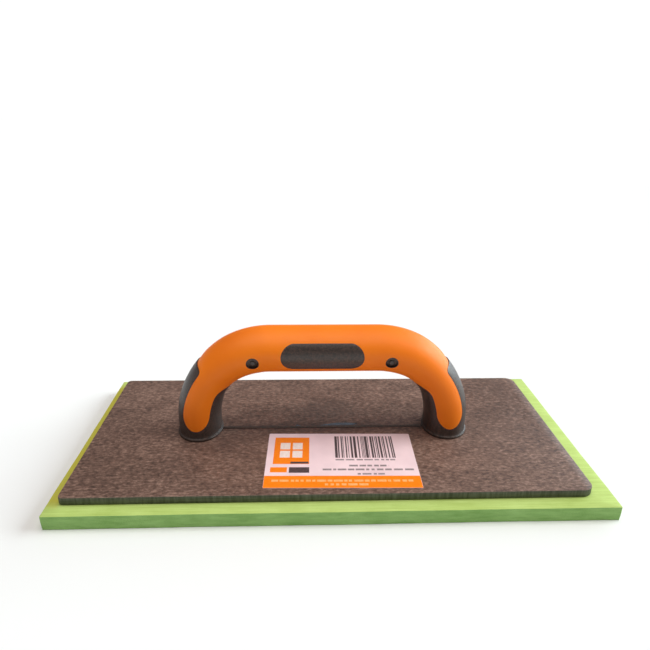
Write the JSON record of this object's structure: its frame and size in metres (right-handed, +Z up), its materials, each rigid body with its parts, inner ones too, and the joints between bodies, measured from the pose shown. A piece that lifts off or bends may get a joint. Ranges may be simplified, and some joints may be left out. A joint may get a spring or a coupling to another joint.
{
  "type": "grout float",
  "caption": "Grout float: a cellular rubber pad glued under a stiff fibre board, with a soft-skinned bow handle screwed on top.",
  "frame": {"origin": "middle of the pad's working face, in the plane that it rests on", "axes": "+X along the pad's length, +Z up from the working face through the grip, and -Y towards the side of the board that carries the label"},
  "size_m": [0.28, 0.14, 0.0758],
  "materials": {
    "green_foam_rubber": "matte, fine closed cells",
    "glue_film": "dull, dried contact glue",
    "fibre_board": "satin, fibre flecks along the length",
    "screw_steel": "zinc plated",
    "dark_plastic": "satin with a fine spark-eroded grain",
    "orange_skin": "soft satin thermoplastic rubber",
    "label_paper": "printed paper, slightly glossy"
  },
  "bodies": {
    "root": {"foam_pad": "green_foam_rubber", "pad_glue": "glue_film", "backing_board": "fibre_board", "screws": "screw_steel", "handle_core": "dark_plastic", "grip_skin": "orange_skin", "label": "label_paper"}
  },
  "joints": []
}
